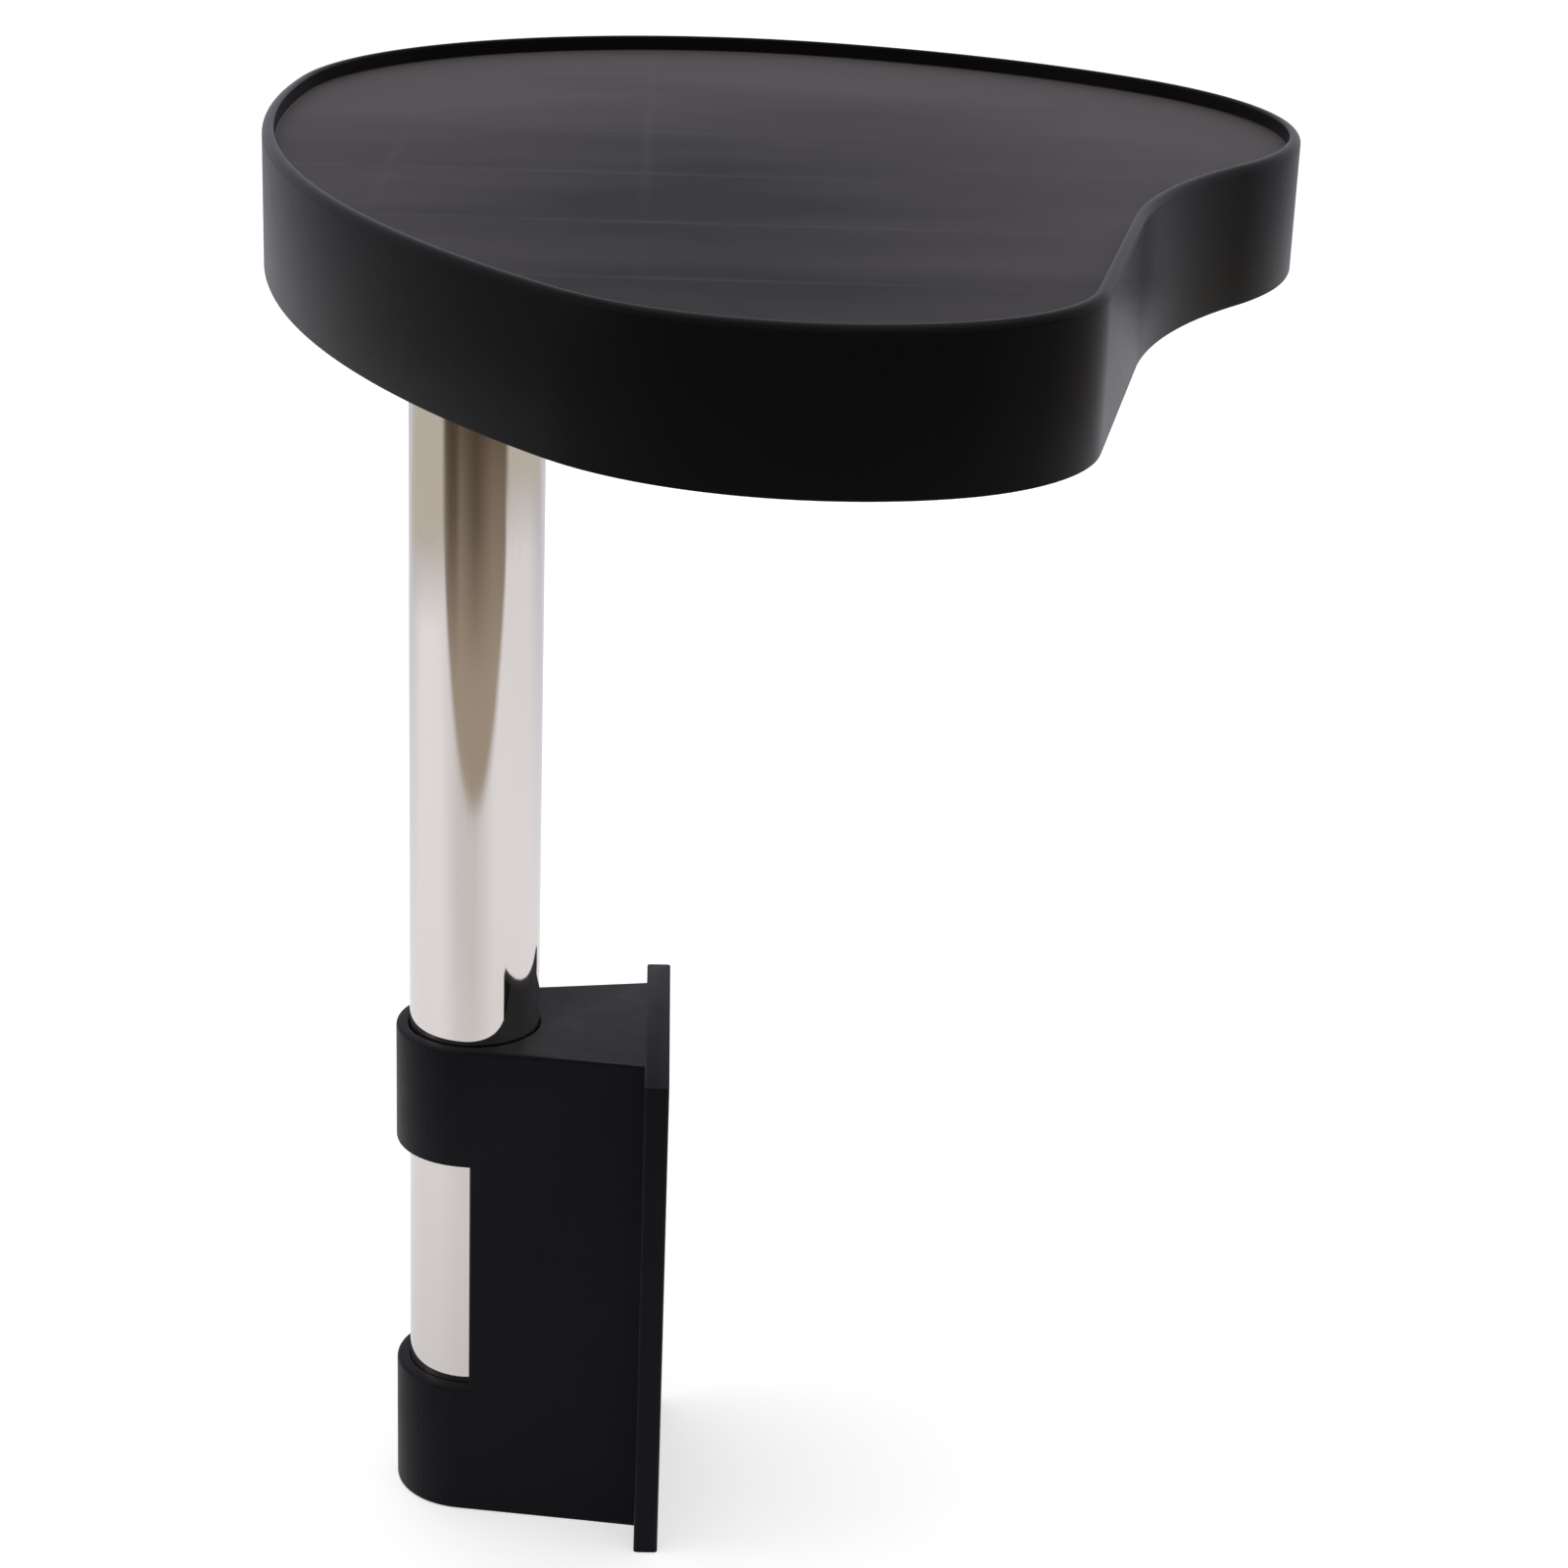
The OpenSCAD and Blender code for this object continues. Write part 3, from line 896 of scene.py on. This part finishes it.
def dim_surroundings():
    """The studio's dimmer end round the camera, past the pale floor: only reflections show it."""
    card = surroundings_card()
    card.data.materials.append(surroundings_material())
    card.visible_camera = card.visible_diffuse = card.visible_shadow = False
    card.visible_transmission = card.visible_volume_scatter = False


def softbox(name, place, aim, size, power):
    """A rectangular lamp at that place, facing the aim."""
    data = bpy.data.lights.new(name, "AREA")
    data.shape = "RECTANGLE"
    data.size, data.size_y = size
    data.energy = power
    lamp = bpy.data.objects.new(name, data)
    bpy.context.scene.collection.objects.link(lamp)
    lamp.location = place
    lamp.rotation_mode = "QUATERNION"
    lamp.rotation_quaternion = (Vector(aim) - Vector(place)).to_track_quat("-Z", "Y")


def camera(place, yaw, pitch, roll, lens, shift):
    """The scene's camera; it looks along +Y when it isn't turned, and a pitch looks down."""
    forward = Vector((-math.sin(yaw) * math.cos(pitch), math.cos(yaw) * math.cos(pitch),
                      -math.sin(pitch)))
    right = Vector((math.cos(yaw), math.sin(yaw), 0.0))
    down = forward.cross(right)
    across = math.cos(roll) * right + math.sin(roll) * down
    below = -math.sin(roll) * right + math.cos(roll) * down
    data = bpy.data.cameras.new("camera")
    data.sensor_width = 36.0
    data.lens = lens
    data.shift_x, data.shift_y = shift
    data.clip_start, data.clip_end = 0.05, 60.0
    eye = bpy.data.objects.new("camera", data)
    bpy.context.scene.collection.objects.link(eye)
    turned = Matrix((across, -below, -forward)).transposed()
    eye.matrix_world = Matrix.Translation(place) @ turned.to_4x4()
    bpy.context.scene.camera = eye


# The photograph's view, fitted to the post, the collars and the rim. Angles in radians.
camera(place=(-0.0100, -1.2348, 0.6535), yaw=-0.0367, pitch=0.3599, roll=-0.0370,
       lens=78.50, shift=(0.0108, 0.0237))
tray_moulding()
underside()
post_tube()
post_foot_moulding()
lock_screws()
bracket_moulding()
studio_world()
studio_floor()
dim_surroundings()
softbox("overhead", place=(0.1, 0.2, 2.4), aim=(0.0, 0.0, 0.2), size=(2.6, 2.2), power=26)
softbox("left_side", place=(-2.0, -0.3, 0.9), aim=(0.0, 0.0, 0.3), size=(1.0, 1.8), power=5)

bpy.context.scene.view_settings.view_transform = "Standard"
